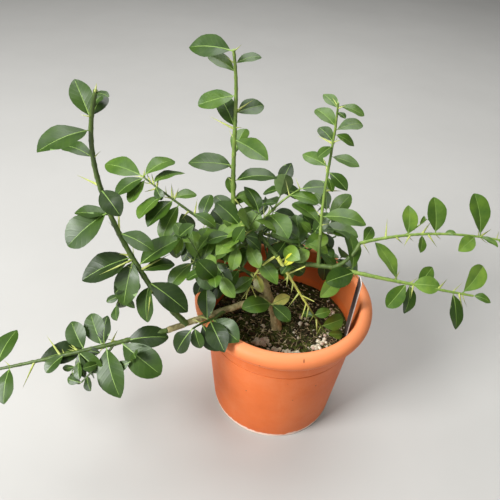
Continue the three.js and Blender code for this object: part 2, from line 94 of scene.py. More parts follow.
def paint(red, green, blue):
    """The linear colour of a paint chart's red, green and blue, which run from 0 to 255."""
    tone = np.array([red, green, blue]) / 255
    return (*np.where(tone < 0.04, tone / 12.92, ((tone + 0.055) / 1.055) ** 2.4), 1.0)


def add_piece(name, points, faces, finishes, smooth_to=40, finish_of_face=None, uv=None):
    """A mesh piece in place. Edges that bend by more degrees than smooth_to stay crisp."""
    mesh = bpy.data.meshes.new(name)
    mesh.from_pydata(np.asarray(points, float).tolist(), [], faces)
    for finish in finishes:
        mesh.materials.append(finish)
    if finish_of_face is not None:
        mesh.polygons.foreach_set("material_index", np.asarray(finish_of_face, np.int32))
    if uv is not None:
        corners = np.empty(len(mesh.loops), np.int32)
        mesh.loops.foreach_get("vertex_index", corners)
        mesh.uv_layers.new(name="lie").data.foreach_set("uv", np.asarray(uv)[corners].ravel())
    mesh.shade_smooth()
    mesh.set_sharp_from_angle(angle=np.radians(smooth_to))
    piece = bpy.data.objects.new(name, mesh)
    bpy.context.collection.objects.link(piece)
    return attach(piece, "root")


def tube(rings, sides):
    """Faces of a closed tube: quads from ring to ring, and a fan round the point at each end.

    The rings come first in the list of points, then the point at the foot and the one at the tip."""
    ring, side = np.meshgrid(np.arange(rings - 1), np.arange(sides), indexing="ij")
    low, high, beside = ring * sides, (ring + 1) * sides, (side + 1) % sides
    quads = np.stack([low + side, low + beside, high + beside, high + side], -1).reshape(-1, 4)
    spin = np.arange(sides)
    beside, last = (spin + 1) % sides, (rings - 1) * sides
    foot = np.stack([np.full(sides, rings * sides), beside, spin], -1)
    tip = np.stack([np.full(sides, rings * sides + 1), last + spin, last + beside], -1)
    return quads, np.vstack([foot, tip])


def circle(sides):
    """Level points at even steps round a circle with a radius of 1."""
    around = np.linspace(0, 2 * np.pi, sides, endpoint=False)
    return np.stack([np.cos(around), np.sin(around), np.zeros(sides)], -1)


def turn_profile(radius, height, sides):
    """A profile carried once round Z, with a single point where it starts and ends on the axis."""
    body = radius[1:-1, None, None] * circle(sides) + np.array([0, 0, 1]) * height[1:-1, None, None]
    points = np.vstack([body.reshape(-1, 3), [0, 0, height[0]], [0, 0, height[-1]]])
    quads, fans = tube(len(radius) - 2, sides)
    return points, quads.tolist() + fans.tolist()


def arc(middle, size, start, end, count):
    """Points of a profile on an arc, from one angle to another: 0 looks outwards, 90 up."""
    at = np.radians(np.linspace(start, end, count))
    return [(middle[0] + size[0] * c, middle[1] + size[1] * s) for c, s in zip(np.cos(at), np.sin(at))]


class Look:
    """A finish laid up coat by coat, with patterns that are read where a point of the piece lies."""

    def __init__(self, name, colour, roughness, even=()):
        """Even values are set on the shader's own sockets."""
        self.material = bpy.data.materials.new(name)
        self.material.use_nodes = True
        self.sockets = self.material.node_tree.nodes["Principled BSDF"].inputs
        for socket, value in (("Base Color", paint(*colour)), ("Roughness", roughness), *even):
            self.feed(self.sockets[socket], value)
        self.lie = self.step("TexCoord").outputs["Object"]

    def feed(self, socket, value):
        """A socket holds a value, or takes it from the output that feeds it."""
        if isinstance(value, bpy.types.NodeSocket):
            self.material.node_tree.links.new(value, socket)
        else:
            socket.default_value = value

    def step(self, kind, inputs=(), operation=None):
        """One more node, with its inputs fed."""
        made = self.material.node_tree.nodes.new("ShaderNode" + kind)
        if operation:
            made.operation = operation
        for key, value in dict(inputs).items():
            self.feed(made.inputs[key], value)
        return made

    def value(self, what, *values):
        """One value worked out from others, such as their product."""
        return self.step("Math", enumerate(values), operation=what).outputs[0]

    def vector(self, what, *vectors):
        """The same for vectors, where a length is a value."""
        outputs = self.step("VectorMath", enumerate(vectors), operation=what).outputs
        return outputs["Value" if what == "LENGTH" else "Vector"]

    def height(self):
        """The height above the pot's foot, in metres."""
        return self.step("SeparateXYZ", {0: self.lie}).outputs["Z"]

    def grain(self, scale, detail=4, along=1):
        """Cloudy noise from 0 to 1, so many times a metre, that can be stretched along Z."""
        lie = self.step("Mapping", {"Vector": self.lie, "Scale": (1, 1, along)}).outputs[0]
        noise = {"Vector": lie, "Scale": scale, "Detail": detail, "Roughness": 0.6}
        return self.step("TexNoise", noise).outputs["Fac"]

    def share(self, value, low, high):
        """How far a value is from low to high, kept between 0 and 1."""
        return self.step("MapRange", {"Value": value, "From Min": low, "From Max": high}).outputs[0]

    def shades(self, share, *stops):
        """A colour for each share from 0 to 1, between the colours at the stops."""
        ramp = self.step("ValToRGB", {"Fac": share})
        while len(ramp.color_ramp.elements) < len(stops):
            ramp.color_ramp.elements.new(0.5)
        for element, (place, colour) in zip(ramp.color_ramp.elements, stops):
            element.position = place
            element.color = paint(*colour)
        return ramp.outputs["Color"]

    def coat(self, over, *shares):
        """Lays a colour over what is there, by the product of its shares. A share is a number, or
        a value with its low and its high."""
        share = None
        for part in shares:
            part = self.share(*part) if isinstance(part, tuple) else part
            share = part if share is None else self.value("MULTIPLY", share, part)
        over = paint(*over) if isinstance(over, tuple) else over
        mix = {"Fac": share, "Color1": self.colour, "Color2": over}
        self.colour = self.step("MixRGB", mix).outputs["Color"]

    def done(self, height=None, deep=0.0):
        """Feeds the shader with the colour, and with a bump of a depth in metres."""
        self.feed(self.sockets["Base Color"], self.colour)
        if height is not None:
            bump = self.step("Bump", {"Height": height, "Distance": deep, "Strength": 0.8})
            self.feed(self.sockets["Normal"], bump.outputs[0])
        return self.material


def pot_plastic():
    """Mottled orange, paler in streaks of dust, and painted paler towards the top of the rim as
    painted light from above. Lime makes a broken line at the foot. The inside wall above the step
    is painted lighter as painted light, the rim's lower edge carries a painted highlight, and the
    step has a fine groove, painted dark as painted shade."""
    look = Look("pot_plastic", POT_ORANGE, 0.6, [("Specular IOR Level", 0.25)])
    up = look.height()
    out = look.vector("LENGTH", look.vector("MULTIPLY", look.lie, (1, 1, 0)))
    orange = (0.3, POT_DEEP_ORANGE), (0.5, POT_ORANGE), (0.8, POT_PALE_ORANGE)
    look.colour = look.shades(look.grain(18, 5), *orange)
    look.coat(POT_ORANGE, 0.62)
    look.coat(POT_PALE_ORANGE, (look.grain(60, 8, 0.25), 0.56, 0.8), 0.3)
    # Painted light: the rim is painted paler towards its top, where light from above falls on it.
    look.coat(POT_PALE_ORANGE, (up, RIM_BOTTOM + 0.004, POT_HEIGHT), 0.7)
    # Painted light: the inside wall above the step is painted lighter, not lit through the plastic.
    look.coat(POT_PAINTED_INNER_LIGHT, (out, MOUTH_RADIUS, MOUTH_RADIUS - 0.0006),
              (up, STEP_HEIGHT - 0.001, STEP_HEIGHT + 0.002))
    ragged = look.value("MULTIPLY_ADD", look.grain(90, 6), 0.010, -0.0002)
    look.coat(POT_LIME, (look.value("SUBTRACT", up, ragged), 0.0009, -0.0003), 0.9)
    # Painted highlight: a pale line along the rim's lower edge, where light catches it.
    look.coat(POT_PAINTED_LIP_HIGHLIGHT, (up, RIM_BOTTOM + 0.0056, RIM_BOTTOM + 0.0040),
              (out, COLLAR_RADIUS + 0.002, COLLAR_RADIUS + 0.004), 0.6)
    # Painted shade: a dark band in the step's groove, on the outside of the wall only.
    look.coat(POT_SPECK_AND_GROOVE_SHADE, (up, STEP_HEIGHT - 0.0015, STEP_HEIGHT - 0.0009),
              (up, STEP_HEIGHT + 0.0007, STEP_HEIGHT + 0.0002),
              (out, STEP_RADIUS - POT_WALL + 0.0003, STEP_RADIUS - STEP_GROOVE - 0.0002), 0.5)
    dots = look.step("TexVoronoi", {"Vector": look.lie, "Scale": 48}).outputs["Distance"]
    look.coat(POT_SPECK_AND_GROOVE_SHADE, (dots, 0.05, 0.03), 0.7)
    off = look.vector("DIVIDE", look.vector("SUBTRACT", look.lie, RIM_SCUFF), SCUFF_SIZE)
    look.coat(POT_SPECK_AND_GROOVE_SHADE, (look.vector("LENGTH", off), 1.2, 0.7), 0.8)
    look.feed(look.sockets["Roughness"], look.shades(
        look.grain(140, 6), (0.2, (170, 170, 170)), (0.8, (205, 205, 205))))
    return look.done(look.grain(900, 3), 0.00006)


rim_middle = (RIM_RADIUS - RIM_ROLL, (POT_HEIGHT + RIM_BOTTOM) / 2)
rim_size = (RIM_ROLL, (POT_HEIGHT - RIM_BOTTOM) / 2)
pot_profile = np.array(
    [(0, 0.0015), (BASE_RADIUS - 0.016, 0.0015), (BASE_RADIUS - 0.0145, 0)]
    + arc((BASE_RADIUS - 0.002, 0.002), (0.002, 0.002), -90, 0, 6)
    + [(BASE_RADIUS + (STEP_RADIUS - BASE_RADIUS) * t, STEP_HEIGHT * t) for t in (0.25, 0.5, 0.75, 0.97)]
    + [(STEP_RADIUS, STEP_HEIGHT - 0.0014), (STEP_RADIUS - STEP_GROOVE, STEP_HEIGHT - 0.0008)]
    + [(STEP_RADIUS - STEP_GROOVE, STEP_HEIGHT), (STEP_RADIUS + 0.0008, STEP_HEIGHT + 0.0009)]
    + [(COLLAR_RADIUS - 0.0006, RIM_BOTTOM - 0.003), (COLLAR_RADIUS, RIM_BOTTOM + 0.0002)]
    + arc(rim_middle, rim_size, -72, 88, 26)
    + arc((MOUTH_RADIUS + 0.0034, POT_HEIGHT - 0.0034), (0.0034, 0.0034), 92, 180, 8)
    + [(MOUTH_RADIUS - 0.0006, RIM_BOTTOM + 0.002), (STEP_RADIUS - POT_WALL, STEP_HEIGHT)]
    + [(BASE_RADIUS - POT_WALL + 0.001, POT_FLOOR + 0.001), (BASE_RADIUS - 0.006, POT_FLOOR)]
    + [(0, POT_FLOOR)]
)
pot = add_piece("pot_shell", *turn_profile(*pot_profile.T, 160), [pot_plastic()], smooth_to=35)
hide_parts("pot")


# The compost: peat, bark crumbs and grit, filled to below the collar and a little domed. It is
# one poured filling, rough all over, and green moss has grown on it where it stays moist.
SOIL_LEVEL = 0.112
SOIL_EDGE = 0.0772
SOIL_FOOT = 0.0675
SOIL_SIDES = 120
COMPOST_BROWN = (57, 57, 31)
COMPOST_BLACK = (17, 17, 10)
COMPOST_TAN = (186, 170, 128)
MOSS_GREEN = (58, 70, 24)
MOSS_BRIGHT = (98, 112, 42)
MOSS_PALE = (146, 156, 72)


def ground_height(x, y):
    """The compost's height: three slow waves, crossed, and a finer ripple on top of them."""
    slow = np.sin(61 * x + 1.3) * np.cos(53 * y - 0.4) + 0.6 * np.sin(97 * y + 71 * x)
    fine = np.sin(410 * x + 90 * y) * np.cos(380 * y - 120 * x)
    return SOIL_LEVEL + 0.0011 * slow + 0.0005 * fine


def compost():
    """Crumbs that each have their own shade, mostly dark, with painted shade darkening the gaps between
    them, and drifts of moss.
    """
    look = Look("compost", COMPOST_BROWN, 0.95, [("Specular IOR Level", 0.2)])
    crumbs = look.step("TexVoronoi", {"Vector": look.lie, "Scale": 520}).outputs
    own = look.step("SeparateXYZ", {0: crumbs["Color"]}).outputs["X"]
    browns = (0.0, COMPOST_BLACK), (0.5, COMPOST_BROWN), (0.82, COMPOST_BROWN), (0.97, COMPOST_TAN)
    look.colour = look.shades(own, *browns)
    # Painted shade: the gaps between crumbs are darkened towards black.
    look.coat(COMPOST_BLACK, (crumbs["Distance"], 0.35, 0.75), 0.8)
    look.coat(COMPOST_TAN, (look.grain(330, 8), 0.58, 0.7), 0.6)
    tuft = look.shades(look.grain(600), (0.35, MOSS_GREEN), (0.7, MOSS_BRIGHT))
    look.coat(tuft, (look.grain(32, 3), 0.44, 0.58), 0.6)
    return look.done(look.grain(420, 8), 0.0016)


soil_shares = np.linspace(1, 0, 46)[:-1, None, None] ** 0.8
soil_top = SOIL_EDGE * soil_shares * circle(SOIL_SIDES)
soil_top[..., 2] = ground_height(soil_top[..., 0], soil_top[..., 1])
foot_height = POT_FLOOR + 0.0006
soil_foot = SOIL_FOOT * circle(SOIL_SIDES) + (0, 0, foot_height)
soil_ends = [0, 0, foot_height], [0, 0, ground_height(0, 0)]
soil_points = np.vstack([soil_foot, soil_top.reshape(-1, 3), *soil_ends])
soil_quads, soil_fans = tube(len(soil_shares) + 1, SOIL_SIDES)
soil_bed = add_piece("compost_bed", soil_points, soil_quads.tolist() + soil_fans.tolist(), [compost()],
                     smooth_to=80)
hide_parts("soil")


# What lies on the compost: crumbs of bark, and pale grit that has washed together in patches at
# the front and the right. Each is a small rough stone, pressed in by half of its height.
GRIT_CREAM = (250, 241, 218)
GRIT_PINK = (218, 182, 166)
GRIT_GREY = (186, 176, 150)
CRUMB_BROWN = (76, 64, 42)
CRUMB_BLACK = (20, 19, 12)
# A patch of grit has a middle, a spread along X and along Y, a number of stones and their size, all
# but the number in millimetres.
GRIT_PATCHES = (
    (-5, -38.5, 3, 1.2, 12, 4.6),
    (12, -39, 7, 1, 26, 4),
    (-18, -30, 5, 2.5, 14, 5),
    (37, -31, 3, 1.6, 14, 5),
    (47, -23, 3, 2, 8, 5.2),
    (58, -15, 5, 3, 6, 4.6),
    (64, 12, 2, 4, 8, 6.2),
    (60, 30, 4, 6, 8, 4),
    (22, 8, 10, 8, 8, 3.8),
    (-30, 6, 16, 10, 8, 3.4),
)
GRIT_LOOSE = 130
CRUMB_COUNT = 900
GROUND_EDGE = 0.0755


def many(points, *kinds):
    """The points of many like pieces in one list, and each kind of face repeated for all of them."""
    first = points.shape[1] * np.arange(len(points))[:, None, None]
    faces = [face for kind in kinds for face in (kind + first).reshape(-1, kind.shape[-1]).tolist()]
    return points.reshape(-1, 3), faces


def rough_stones(place, size, seed):
    """Many twelve-cornered stones at once: each corner is pushed in or out, and each stone turned."""
    golden = (1 + 5 ** 0.5) / 2
    corners = np.array([(-1, golden, 0), (1, golden, 0), (-1, -golden, 0), (1, -golden, 0),
                        (0, -1, golden), (0, 1, golden), (0, -1, -golden), (0, 1, -golden),
                        (golden, 0, -1), (golden, 0, 1), (-golden, 0, -1), (-golden, 0, 1)])
    sides = np.array([(0, 11, 5), (0, 5, 1), (0, 1, 7), (0, 7, 10), (0, 10, 11), (1, 5, 9), (5, 11, 4),
                      (11, 10, 2), (10, 7, 6), (7, 1, 8), (3, 9, 4), (3, 4, 2), (3, 2, 6), (3, 6, 8),
                      (3, 8, 9), (4, 9, 5), (2, 4, 11), (6, 2, 10), (8, 6, 7), (9, 8, 1)])
    luck = np.random.default_rng(seed)
    count = len(place)
    push = luck.uniform(0.7, 1.25, (count, 12, 1))
    spin = np.linalg.qr(luck.normal(size=(count, 3, 3)))[0]
    spin *= np.sign(np.linalg.det(spin))[:, None, None]
    flat = luck.uniform(0.5, 1.0, (count, 1, 3))
    stones = (corners / 1.9 * push * flat) @ spin * size[:, None, None] + place[:, None, :]
    return many(stones, sides)


def on_ground(angle, radius, size):
    """Places on the compost, in degrees round the pot and metres out from its middle."""
    x, y = radius * np.cos(np.radians(angle)), radius * np.sin(np.radians(angle))
    return np.stack([x, y, ground_height(x, y) + 0.15 * size], -1)


def stone_finish(name, dark, light, scale):
    """A dull grain that mottles from a dark shade to a light one, pitted at four times the scale."""
    look = Look(name, light, 0.9, [("Specular IOR Level", 0.25)])
    look.colour = look.shades(look.grain(scale, 6), (0.3, dark), (0.65, light))
    return look.done(look.grain(scale * 4), 0.0003)


luck = np.random.default_rng(4)
crumb_size = luck.uniform(0.0010, 0.0034, CRUMB_COUNT) * luck.uniform(0.6, 1.1, CRUMB_COUNT)
crumb_angle = luck.uniform(0, 360, CRUMB_COUNT)
crumb_place = on_ground(crumb_angle, 0.0752 * np.sqrt(luck.uniform(0, 1, CRUMB_COUNT)), crumb_size)
crumbs = add_piece("compost_crumbs", *rough_stones(crumb_place, crumb_size, 5),
                   [stone_finish("bark_crumbs", CRUMB_BLACK, CRUMB_BROWN, 170)], smooth_to=20)

patches = np.repeat(GRIT_PATCHES, [row[4] for row in GRIT_PATCHES], 0) / 1000
patch_size = patches[:, 5] * luck.uniform(0.35, 1, len(patches))
patch_x, patch_y = (patches[:, :2] + patches[:, 2:4] * luck.normal(size=(len(patches), 2))).T
patch_out = np.minimum(np.hypot(patch_x, patch_y), GROUND_EDGE)
loose_out = 0.074 * np.sqrt(luck.uniform(0.05, 1, GRIT_LOOSE))
grit_size = np.concatenate([patch_size, luck.uniform(0.0008, 0.0024, GRIT_LOOSE)])
grit_angle = np.concatenate([np.degrees(np.arctan2(patch_y, patch_x)), luck.uniform(0, 360, GRIT_LOOSE)])
grit_place = on_ground(grit_angle, np.concatenate([patch_out, loose_out]), grit_size)
grit = add_piece("grit", *rough_stones(grit_place, grit_size, 6), [
    stone_finish("cream_grit", GRIT_GREY, GRIT_CREAM, 240),
    stone_finish("pink_grit", GRIT_GREY, GRIT_PINK, 240),
], smooth_to=20, finish_of_face=np.repeat(luck.integers(0, 4, len(grit_size)) == 0, 20))


# The moss: short upright tufts on the moist front half of the compost. Each tuft is a handful
# of tiny three-sided spikes that spread from one root.
MOSS_TUFTS = 120
MOSS_SPIKES = 22


def unit(way):
    """The same direction, with a length of 1."""
    return way / np.linalg.norm(way, axis=-1, keepdims=True)


def spikes(foot, along, length, width, sides=3):
    """Many spikes at once: an even ring of points at the foot of each and one point at its tip."""
    spare = np.where(np.abs(along[:, 2:]) > 0.9, [[1.0, 0, 0]], [[0, 0, 1.0]])
    side = unit(np.cross(along, spare))
    other = np.cross(along, side)
    spin = np.arange(sides)
    turn = 2 * np.pi * spin / sides
    ring = np.cos(turn)[:, None] * side[:, None] + np.sin(turn)[:, None] * other[:, None]
    base = foot[:, None] + ring * width[:, None, None]
    tips = (foot + along * length[:, None])[:, None]
    flanks = np.stack([spin, (spin + 1) % sides, np.full(sides, sides)], -1)
    return many(np.concatenate([base, tips], 1), flanks, spin[None, ::-1])


def strewn(hubs, each, spread, lean, sunk):
    """Roots and directions for many spikes round each hub, standing by 1 and leaning by chance."""
    roots = np.repeat(hubs, each, 0) + luck.normal(0, spread, (len(hubs) * each, 3)) * (1, 1, 0)
    roots[:, 2] = ground_height(roots[:, 0], roots[:, 1]) - sunk
    return roots, unit(luck.normal(0, lean, roots.shape) + (0, 0, 1))


moss_out = 0.068 * np.sqrt(luck.uniform(0.12, 1, MOSS_TUFTS))
moss_hubs = on_ground(luck.normal(-95, 48, MOSS_TUFTS), moss_out, 0)
moss_roots, moss_lean = strewn(moss_hubs, MOSS_SPIKES, 0.0022, 0.45, 0.0004)
moss_long = luck.uniform(0.0014, 0.0034, len(moss_roots))
moss_light = luck.integers(0, 3, len(moss_roots)) == 0
moss = add_piece("moss", *spikes(moss_roots, moss_lean, moss_long, np.full_like(moss_long, 0.0004)), [
    stone_finish("moss_dark", MOSS_GREEN, MOSS_BRIGHT, 300),
    stone_finish("moss_light", MOSS_BRIGHT, MOSS_PALE, 300),
], smooth_to=20, finish_of_face=np.concatenate([np.repeat(moss_light, 3), moss_light]))


# Dry litter on the compost: short straw-coloured fibres and root ends that lie nearly flat.
FIBRE_STRAW = (214, 198, 154)
FIBRE_BROWN = (160, 140, 102)
FIBRE_COUNT = 420

fibre_out = 0.070 * np.sqrt(luck.uniform(0.02, 1, FIBRE_COUNT))
fibre_hubs = on_ground(luck.uniform(0, 360, FIBRE_COUNT), fibre_out, 0)
fibre_roots, fibre_lean = strewn(fibre_hubs, 1, 0.001, 1, -0.0012)
fibre_lean = unit(fibre_lean * (1, 1, 0.22))
outwards = np.sum(fibre_lean * fibre_roots * (1, 1, 0), 1, keepdims=True) > 0
fibre_lean = fibre_lean * np.where(outwards, (-1, -1, 1), (1, 1, 1))
fibre_long = luck.uniform(0.003, 0.011, FIBRE_COUNT)
fibre_thick = luck.uniform(0.0003, 0.0007, FIBRE_COUNT)
fibres = add_piece("dry_fibres", *spikes(fibre_roots, fibre_lean, fibre_long, fibre_thick),
                   [stone_finish("dry_fibre", FIBRE_BROWN, FIBRE_STRAW, 120)], smooth_to=80)


# The plant label: a thin strip of dark plastic pushed in at the right, its face left plain. It
# leans out against the wall, and its worn edges are pale.
LABEL_WIDTH = 0.012
LABEL_THICK = 0.001
LABEL_ABOVE = 0.097
LABEL_BELOW = 0.024
LABEL_PLACE = (0.073, -0.008)
LABEL_TURN = 80
LABEL_LEAN = 9
LABEL_FACE = 14
LABEL_BROWN = (92, 80, 76)
LABEL_DARK = (58, 50, 50)
LABEL_EDGE = (222, 216, 210)
LABEL_WORN = (184, 176, 168)


def label_strip():
    """A flat strip with a round top and a pointed foot: four outlines through its thickness."""
    top, foot = LABEL_ABOVE, -LABEL_BELOW
    half, thin = LABEL_WIDTH / 2, LABEL_THICK / 2
    right = [(0.0008, foot), (half, foot + 0.012)]
    right += [(half, z) for z in np.linspace(0.0, top - 0.003, 7)[:-1]]
    right += arc((half - 0.003, top - 0.003), (0.003, 0.003), 0, 90, 4)
    outline = np.array(right + [(-x, z) for x, z in right[::-1]])
    inset = outline * (1 - 0.0006 / half, 1)
    layers = [(inset, -thin), (outline, -thin * 0.6), (outline, thin * 0.6), (inset, thin)]
    points = np.vstack([np.insert(layer, 1, y, axis=1) for layer, y in layers])
    spin = np.arange(len(outline))
    edge = tube(4, len(outline))[0].tolist()
    return points, edge + [spin[::-1].tolist(), (spin + 3 * len(outline)).tolist()]


def clouded(name, colour, other, scale, roughness):
    """A plain colour that clouds softly into another."""
    look = Look(name, colour, roughness)
    look.colour = look.shades(look.grain(scale), (0.35, colour), (0.7, other))
    return look.done()


def label_plastic():
    """Dark and dull, streaked along the strip by rubbing."""
    look = Look("label_plastic", LABEL_BROWN, 0.5)
    streaks = look.grain(90, 6, 0.3)
    look.colour = look.shades(streaks, (0.35, LABEL_DARK), (0.7, LABEL_BROWN))
    return look.done(look.grain(500), 0.0001)


label_points, label_faces = label_strip()
stand = np.array(
    Matrix.Translation((*LABEL_PLACE, SOIL_LEVEL))
    @ Matrix.Rotation(np.radians(LABEL_TURN), 4, "Z")
    @ Matrix.Rotation(np.radians(-LABEL_LEAN), 4, "Y")
    @ Matrix.Rotation(np.radians(LABEL_FACE), 4, "Z")
)
label = add_piece("label_strip", label_points @ stand[:3, :3].T + stand[:3, 3], label_faces,
                  [label_plastic(), clouded("label_edge", LABEL_EDGE, LABEL_WORN, 260, 0.6)],
                  smooth_to=30, finish_of_face=[1] * (len(label_faces) - 2) + [0, 0])
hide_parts("plant_label")


# The trunk and the boughs: one slim leaning trunk that bends at its fork, and tapered limbs that
# spring from it and from each other. The old wood has grey-brown bark with fine ridges and leaf
# scars, the younger limbs are green.
TRUNK_FOOT = (-0.0036, -0.0034, SOIL_LEVEL - 0.003)
BARK_PALE = (210, 198, 150)
BARK_BROWN = (178, 164, 116)
BARK_DARK = (116, 106, 72)
BARK_MOSS = (98, 104, 62)
WOOD_GREEN = (72, 94, 40)
WOOD_LIGHT_GREEN = (106, 130, 58)
WOOD_TAN = (124, 120, 78)
LIMB_RING_STEP = 0.0011

# A limb starts on a heading and a rise, in degrees, which change evenly by its turn and its lift.
Limb = namedtuple("Limb", "start foot tip reach heading turn rise lift flare", defaults=[0.0])
limbs = {}


def direction(heading, rise):
    """A heading turns from +X towards +Y, and a rise is measured up from the level."""
    heading, rise = np.broadcast_arrays(np.radians(heading), np.radians(rise))
    level = np.cos(rise)
    return np.stack([level * np.cos(heading), level * np.sin(heading), np.sin(rise)], -1)


def heads(limb, share):
    """The way that a limb runs at a share of its reach, with a level side and an upper side to it."""
    share = np.asarray(share, float)
    heading = limb.heading + limb.turn * share
    along = direction(heading, limb.rise + limb.lift * share)
    side = direction(heading - 90, 0)
    return along, side, np.cross(side, along)


def place_on(limb, share):
    """A place on a limb's middle line: its heading is summed in 24 even steps from its start."""
    steps = np.arange(24)
    part = np.clip(np.asarray(share, float)[..., None] * 24 - steps, 0, 1)
    return limb.start + part @ heads(limb, (steps + 0.5) / 24)[0] * limb.reach / 24


def radius_at(limb, share):
    """An even taper from foot to tip, with a flare that dies away from the foot."""
    return limb.foot + (limb.tip - limb.foot) * share + limb.flare * np.exp(-12 * share)


def grow_limb(name, on, at, foot, tip, reach, *bends, flare=0.0):
    """A limb springs from the middle of the one that it is on. A row gives how far along that one
    in percent, its radius at foot and tip and its reach in millimetres, and its bends in degrees."""
    start = place_on(limbs[on], at / 100) if on else TRUNK_FOOT
    limbs[name] = Limb(start, foot / 1000, tip / 1000, reach / 1000, *bends, flare / 1000)


def limb_skin(limb, step, least, sides, relief):
    """Rings round the middle line, a step apart but so many at least, each point pushed out by the
    relief, with closed ends."""
    share = np.linspace(0, 1, max(least, int(limb.reach / step)))
    around = 2 * np.pi * np.arange(sides) / sides
    along, side, upper = heads(limb, share)
    out = np.cos(around)[:, None] * side[:, None] - np.sin(around)[:, None] * upper[:, None]
    far = radius_at(limb, share)[:, None] * relief(limb, share[:, None], around[None])
    middle = place_on(limb, share)
    points = (middle[:, None] + far[..., None] * out).reshape(-1, 3)
    return np.vstack([points, middle[0], middle[-1]]), *tube(len(share), sides)


def joined(skins):
    """Several skins as the points and faces of one mesh."""
    points, faces, base = [], [], 0
    for spots, quads, ends in skins:
        points.append(spots)
        faces += (quads + base).tolist() + (ends + base).tolist()
        base += len(spots)
    return np.vstack(points), faces


def bark_relief(limb, share, around):
    """Long ridges that wander round the limb, leaf scars every 13 mm and a collar at the foot."""
    run = share * limb.reach
    ridges = 0.035 * np.sin(5 * around + 9 * np.sin(run * 120)) + 0.02 * np.sin(11 * around - run * 700)
    scars = 0.09 * np.exp(-(((run % 0.013) - 0.0065) / 0.0011) ** 2)
    lumps = 0.05 * np.sin(run * 310 + 2 * np.sin(around))
    buttress = 0.2 * np.exp(-share * 14) * np.cos(4 * around + 0.7) * (limb.flare > 0)
    collar = 0.35 * np.exp(-run / 0.004) * (limb.flare == 0)
    return 1 + ridges + scars + lumps + buttress + collar


def old_bark():
    """Grey-brown with dark cracks along the limb, and a little green film."""
    look = Look("old_bark", BARK_BROWN, 0.85, [("Specular IOR Level", 0.3)])
    cracks = look.grain(260, 8, 0.35)
    look.colour = look.shades(cracks, (0.3, BARK_DARK), (0.5, BARK_BROWN), (0.68, BARK_PALE))
    look.coat(BARK_MOSS, (look.grain(70), 0.5, 0.7), 0.5)
    return look.done(cracks, 0.0008)


def green_wood():
    """Green with paler streaks and small tan spots."""
    look = Look("green_wood", WOOD_GREEN, 0.55)
    streaks = look.grain(190, 6, 0.4)
    look.colour = look.shades(streaks, (0.35, WOOD_GREEN), (0.7, WOOD_LIGHT_GREEN))
    look.coat(WOOD_TAN, (look.grain(420), 0.6, 0.7), 0.6)
    return look.done(streaks, 0.0003)


grow_limb("trunk", None, 0, 4.8, 3.8, 102, -119, -104, 76, -7, flare=2.5)
for row in (
    ("left_low_bough", "trunk", 56, 3.6, 2.9, 114, -149, 3, 4, -4),
    ("left_tall_bough", "left_low_bough", 83, 2.9, 2.6, 55, -165, 5, 57, 5),
    ("rim_bough", "left_low_bough", 45, 2, 1.6, 18, -121, 0, 8, 0),
    ("centre_bough", "trunk", 100, 3.4, 2.6, 44, 150, -9, 36, 15),
    ("right_low_bough", "trunk", 93, 3, 2.3, 79, 13, -27, 10, -9),
    ("right_tall_bough", "right_low_bough", 75, 1.9, 1.6, 33, 110, -8, 68, 12),
    ("right_high_bough", "right_low_bough", 93, 2, 1.8, 37, 9, 43, 22, 35),
    ("back_left_bough", "trunk", 90, 2.4, 1.8, 66, 134, 37, 34, -16),
    ("back_right_bough", "trunk", 97, 2.4, 1.7, 43, 103, -22, 48, 0),
    ("front_bough", "back_right_bough", 70, 2, 1.9, 34, -57, 0, -7, 0),
):
    grow_limb(*row)
grey_names = ["trunk", "left_low_bough"]
green_names = [name for name in limbs if name not in grey_names]
for group, names, finish, record_slot in (
    ("grey_limbs", grey_names, old_bark(), "grey_bark"),
    ("green_limbs", green_names, green_wood(), "green_bark"),
):
    skins = [limb_skin(limbs[name], LIMB_RING_STEP, 12, 24, bark_relief) for name in names]
    wood = add_piece(group, *joined(skins), [finish], smooth_to=60)
    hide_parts(*names)


# How the shoots grow. A shoot carries on from its limb, with leaves that stand out one by one
# on it, side twigs that bear leaves of their own, and finer twigs on those. Successive leaves
# and twigs turn by a fixed angle round their stem, and thorns stand beside most leaves.
LEAF_TURN = 137.5
LEAF_SPREAD = 62
LEAF_SAG = 0.22
LIGHT = direction(-90, 66)
SPINE_FOOT = 0.0013
stems = []
leaves = []
thorns = []


def chance(seed, count):
    """An even scatter that is the same each time: the digits far behind the point of a sine."""
    x = np.sin(seed * 12.9898 + count * 78.233) * 43758.5453
    return x - np.floor(x)


def outward(limb, share, around, spread, sag):
    """The way that a leaf or twig leaves its stem, at an angle round it, sagging by its weight."""
    along, side, upper = heads(limb, share)
    spread, around = np.radians(spread), np.radians(around)
    way = along * np.cos(spread) + np.sin(spread) * (upper * np.cos(around) + side * np.sin(around))
    return unit(way - (0, 0, sag))


def add_leaf(limb, share, along, length, roll, seed, tones, turn):
    """A leaf turns its upper face to the light and a little towards the tip of its stem. The
    tones of its spray come round in turn."""
    face = LIGHT + 0.4 * heads(limb, share)[0]
    face = unit(face - along * (face @ along))
    face = face * np.cos(np.radians(roll)) + np.cross(along, face) * np.sin(np.radians(roll))
    leaves.append({"root": place_on(limb, share), "along": along, "face": face, "length": length,
                   "tone": tones[turn % len(tones)], "seed": seed})


def spread_out(count, start, end):
    """Even shares from start to end, or one at the end."""
    return np.linspace(start, end, count) if count > 1 else [end] * count


def rule_leaves(limb, seed, count, start, end, length, tones):
    """Leaves at even shares, each a fixed turn on from the last, with small chances by the seed."""
    for i, share in enumerate(spread_out(count, start, end)):
        around = 360 * chance(seed, 0) + LEAF_TURN * i
        spread = LEAF_SPREAD + 24 * (chance(seed, i + 1) - 0.5)
        along = outward(limb, share, around, spread, LEAF_SAG)
        size = length * (0.8 + 0.4 * chance(seed, i + 31))
        add_leaf(limb, share, along, size, 50 * (chance(seed, i + 61) - 0.5), seed + 0.1 * i, tones, i)


